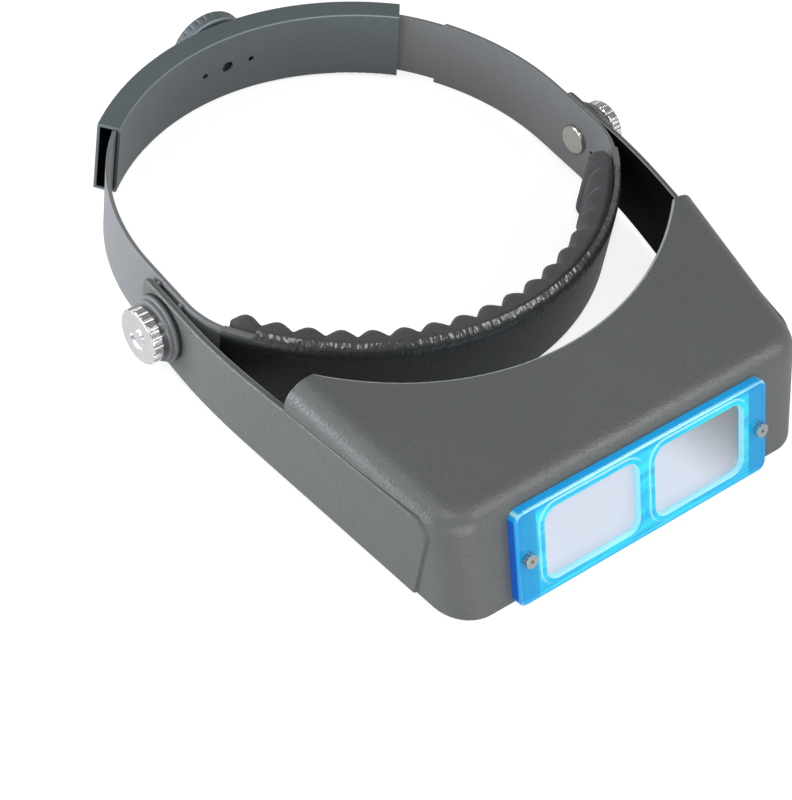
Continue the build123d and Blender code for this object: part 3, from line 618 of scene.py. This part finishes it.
def blue_plastic(name):
    """Translucent blue plastic: cyan face, bluer tabs, deep blue outer edge, pale window walls and rounded
    edges as painted highlights, and a faint painted glow.
    """
    finish = Finish(name, Roughness=0.14, IOR=1.49, Transmission_Weight=0.20,
                    Coat_Weight=0.15, Coat_Roughness=0.06)
    offset = from_plate_middle(finish)
    across = finish.maths("ABSOLUTE", finish.vector("DOT_PRODUCT", offset, (1, 0, 0)))
    upward = finish.maths("ABSOLUTE", finish.vector("DOT_PRODUCT", offset, tuple(PLATE_UP)))
    past_end = finish.maths("SUBTRACT", across, PLATE_HALF_LENGTH)
    past_edge = finish.maths("MAXIMUM", past_end, finish.maths("SUBTRACT", upward, PLATE_HALF_HEIGHT))
    normal, rounded = finish.rounding(0.3 * MM)
    border = finish.band(past_edge, -1.3 * MM, -0.8 * MM)
    pale_wall_highlight = finish.band(finish.toward(PLATE_OUT), 0.95, 0.6)
    outermost = finish.band(past_edge, -0.25 * MM, -0.1 * MM)
    tab = finish.band(past_end, -TAB_LENGTH - 0.4 * MM, -TAB_LENGTH + 0.4 * MM)
    from_step = finish.maths("ABSOLUTE", finish.maths("ADD", past_edge, 2.3 * MM))
    step_line = finish.band(from_step, 0.45 * MM, 0.15 * MM)
    streaks = finish.noise(5 * MM, 3, (9, 1, 1))
    base = finish.mix(finish.band(streaks, 0.35, 0.65), (0.003, 0.40, 0.70), (0.014, 0.66, 0.74))
    base = finish.mix(tab, base, (0.001, 0.29, 0.56))
    base = finish.mix(finish.maths("MULTIPLY", step_line, 0.55), base, (0.002, 0.22, 0.66))
    # Pale window walls: a painted highlight.
    base = finish.mix(finish.maths("MULTIPLY", pale_wall_highlight, 0.8), base, (0.46, 0.88, 0.96))
    base = finish.mix(border, base, (0.004, 0.34, 0.74))
    # Pale rounded edges: a painted highlight.
    base = finish.mix(finish.maths("MULTIPLY", rounded, 0.6), base, (0.40, 0.88, 0.98))
    base = finish.mix(outermost, base, (0.002, 0.11, 0.58))
    # The plate glows faintly in its own colour: painted light.
    finish.set(Base_Color=base, Emission_Color=base, Emission_Strength=0.20)
    finish.set(Normal=finish.bump(finish.noise(6 * MM, 2), 0.05 * MM, normal))
    light_passes(finish, 0.5)
    return finish.material


def clear_lens(name):
    """Polished optical acrylic, faintly lavender and slightly hazy, greyer towards one upper corner as a
    painted reflection, and glowing faintly as painted light.
    """
    finish = Finish(name, IOR=1.49, Transmission_Weight=0.42, Coat_Weight=0.4, Coat_Roughness=0.03)
    corner = 0.8 * PLATE_UP + Vector((0.9, 0, 0))
    towards_corner = finish.vector("DOT_PRODUCT", from_plate_middle(finish), tuple(corner))
    # Greyer towards one upper corner: a painted reflection of the dark inside of the hood.
    grey_reflection = finish.band(towards_corner, 14 * MM, 50 * MM)
    tint = finish.mix(grey_reflection, (0.55, 0.575, 0.645), (0.25, 0.26, 0.28))
    haze = finish.noise(14 * MM, 3)
    finish.set(Base_Color=tint, Roughness=finish.spread(haze, 0.01, 0.05))
    # The lens glows faintly, less towards that corner: painted light.
    finish.set(Emission_Color=tint, Emission_Strength=finish.spread(grey_reflection, 0.18, 0.05))
    light_passes(finish, 0.9)
    return finish.material


FINISHES = {
    "visor_plastic": moulded("visor_plastic", (0.118, 0.124, 0.121), roughness=0.36, grain=0.9 * MM,
                             depth=0.13 * MM, edge=0.5 * MM, edge_wear_highlight=1.5, shade_mask=inward_shade, rim_highlight=3.0),
    "sleeve_plastic": moulded("sleeve_plastic", (0.112, 0.131, 0.145), roughness=0.36, grain=1.2 * MM,
                              depth=0.012 * MM, edge=0.2 * MM, edge_wear_highlight=3.0, shade_mask=sleeve_hollow_shade,
                              rim_highlight=2.0),
    "band_plastic": moulded("band_plastic", (0.185, 0.188, 0.196), roughness=0.34, grain=1.5 * MM,
                            depth=0.010 * MM, edge=0.3 * MM, edge_wear_highlight=1.9),
    "washer_plastic": moulded("washer_plastic", (0.165, 0.168, 0.175), roughness=0.30, grain=1.0 * MM,
                              depth=0.008 * MM, edge=0.3 * MM),
    "pinion_plastic": moulded("pinion_plastic", (0.12, 0.12, 0.12), roughness=0.4, grain=1.0 * MM,
                              depth=0.01 * MM, edge=0.2 * MM),
    "pad_foam": foam("pad_foam"),
    "pad_leatherette": leatherette("pad_leatherette"),
    "ring_rubber": rubber("ring_rubber"),
    "knob_chrome": metal("knob_chrome", (0.92, 0.91, 0.93), 0.10),
    "steel": metal("steel", (0.56, 0.54, 0.51), 0.24),
    "nut_steel": metal("nut_steel", (0.50, 0.53, 0.54), 0.28),
    "lens_frame_plastic": blue_plastic("lens_frame_plastic"),
    "lens_acrylic": clear_lens("lens_acrylic"),
}


def finish_with(piece, slot):
    piece.data.materials.clear()
    piece.data.materials.append(FINISHES[slot])


for subpart in frame["record"]["subparts"]:
    finish_with(nodes[subpart["node"]], subpart["material_slot"])

finish_with(foam_pad(), "pad_foam")
finish_with(brow_cover(), "pad_leatherette")
strips = [half_strip(1, "right"), half_strip(-1, "left")]
for strip in strips:
    finish_with(strip, "band_plastic")
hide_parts("band_front")

# Stage: floor, light and camera -------------------------------------------------------------

FLOOR_SIZE = 6.0
FLOOR_GLOW = 0.10              # light the floor gives the object
FLOOR_SEEN = 0.78              # its brightness to the camera and through the lenses
FLOOR_MIRRORED = 0.3           # share of that brightness that reflections show
REST_EDGE = 10 * MM            # the visor rests this far behind its front


def floor():
    """A pale table that touches the visor's lower rim and the rear knob. It drops when the visor
    tilts down."""
    visor_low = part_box("visor_shell")[0]
    knob_low, knob_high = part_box("rear_knob")
    front = Vector((0, visor_low.y + REST_EDGE, visor_low.z))
    rear = Vector((0, (knob_low.y + knob_high.y) / 2, knob_low.z))
    along = (rear - front).normalized()
    mesh = bmesh.new()
    corners = []
    for x, y in ((-1, -1), (1, -1), (1, 1), (-1, 1)):
        sideways = Vector((x * FLOOR_SIZE / 2, 0, 0))
        corners.append(mesh.verts.new(front + sideways + along * y * FLOOR_SIZE / 2))
    mesh.faces.new(corners)
    piece = add_piece("floor", mesh)
    paper = Finish("floor", Base_Color=(0.42, 0.42, 0.42), Roughness=0.9, Specular_IOR_Level=0.0)
    path = paper.new("LightPath")
    seen = paper.maths("MAXIMUM", path.outputs["Is Camera Ray"], path.outputs["Is Transmission Ray"])
    mirrored = paper.maths("MULTIPLY", path.outputs["Is Glossy Ray"], FLOOR_MIRRORED)
    seen = paper.maths("MAXIMUM", seen, mirrored)
    paper.set(Emission_Color=(1.0, 1.0, 1.0), Emission_Strength=paper.spread(seen, FLOOR_GLOW, FLOOR_SEEN))
    piece.data.materials.append(paper.material)
    drop = piece.driver_add("location", 2).driver
    tilt = drop.variables.new()
    tilt.name = "tilt"
    tilt.type = "TRANSFORMS"
    tilt.targets[0].id = frame["bodies"]["visor"]
    tilt.targets[0].transform_type = "ROT_X"
    tilt.targets[0].transform_space = "WORLD_SPACE"
    reach, depth = -front.y, -front.z
    drop.expression = f"min(0, {depth:.4f} * (1 - cos(tilt)) - {reach:.4f} * sin(tilt))"


def softbox(name, place, size, power, colour):
    """A large area light aimed at the middle of the object."""
    data = bpy.data.lights.new(name, "AREA")
    data.shape = "RECTANGLE"
    data.size, data.size_y = size
    data.energy = power
    data.color = colour
    lamp = bpy.data.objects.new(name, data)
    lamp.location = place
    lamp.visible_camera = False
    aim = Vector((0, -20 * MM, 0)) - lamp.location
    lamp.rotation_euler = aim.to_track_quat("-Z", "Y").to_euler()
    scene.collection.objects.link(lamp)


HORIZON = (0.74, 0.75, 0.74)
OVERHEAD = (0.22, 0.238, 0.218)


def sky():
    """White to the camera; to the object, bright at the horizon and dim overhead."""
    world = bpy.data.worlds.new("sky")
    world.use_nodes = True
    scene.world = world
    tree = world.node_tree
    background = tree.nodes["Background"]
    coordinates = tree.nodes.new("ShaderNodeTexCoord")
    split = tree.nodes.new("ShaderNodeSeparateXYZ")
    ramp = tree.nodes.new("ShaderNodeValToRGB")
    path = tree.nodes.new("ShaderNodeLightPath")
    mixer = tree.nodes.new("ShaderNodeMixShader")
    white = tree.nodes.new("ShaderNodeBackground")
    white.inputs["Strength"].default_value = 1.0
    for element, position, colour in zip(ramp.color_ramp.elements, (0.05, 0.45), (HORIZON, OVERHEAD)):
        element.position = position
        element.color = (*colour, 1)
    tree.links.new(coordinates.outputs["Generated"], split.inputs[0])
    tree.links.new(split.outputs["Z"], ramp.inputs["Fac"])
    tree.links.new(ramp.outputs["Color"], background.inputs["Color"])
    tree.links.new(path.outputs["Is Camera Ray"], mixer.inputs[0])
    tree.links.new(background.outputs[0], mixer.inputs[1])
    tree.links.new(white.outputs[0], mixer.inputs[2])
    tree.links.new(mixer.outputs[0], tree.nodes["World Output"].inputs["Surface"])


CAMERA_AZIMUTH, CAMERA_ELEVATION, CAMERA_ROLL = radians(-45.93), radians(47.78), radians(10.65)
CAMERA_TARGET = Vector((-0.0167, -0.0382, -0.0518))
CAMERA_DISTANCE = 0.85
CAMERA_LENS = 101.4


def camera():
    """A long lens from the front left and above, slightly rolled."""
    level = cos(CAMERA_ELEVATION)
    back = Vector((sin(CAMERA_AZIMUTH) * level, -cos(CAMERA_AZIMUTH) * level, sin(CAMERA_ELEVATION)))
    level_right = Vector((0, 0, 1)).cross(back).normalized()
    level_up = back.cross(level_right)
    right = level_right * cos(CAMERA_ROLL) + level_up * sin(CAMERA_ROLL)
    up = back.cross(right)
    data = bpy.data.cameras.new("camera")
    data.lens = CAMERA_LENS
    data.clip_start, data.clip_end = 0.01, 50
    view = bpy.data.objects.new("camera", data)
    turn = Matrix((right, up, back)).transposed().to_4x4()
    view.matrix_world = Matrix.Translation(CAMERA_TARGET + back * CAMERA_DISTANCE) @ turn
    scene.collection.objects.link(view)
    scene.camera = view


floor()
sky()
softbox("front_right", (0.50, -0.60, 0.68), (0.34, 0.34), 3.2, (1.0, 1.0, 0.98))
softbox("back_left", (-0.60, 0.47, 0.69), (0.30, 0.30), 2.4, (1.0, 1.0, 0.97))
softbox("over_left", (-0.33, -0.34, 0.88), (0.22, 0.22), 1.9, (1.0, 1.0, 0.98))
softbox("low_left", (-0.42, 0.16, 0.05), (0.40, 0.12), 2.0, (0.88, 0.93, 1.0))
softbox("low_front", (-0.15, -0.75, 0.10), (0.50, 0.16), 2.0, (0.96, 0.98, 1.0))
camera()
scene.view_settings.view_transform = "Standard"
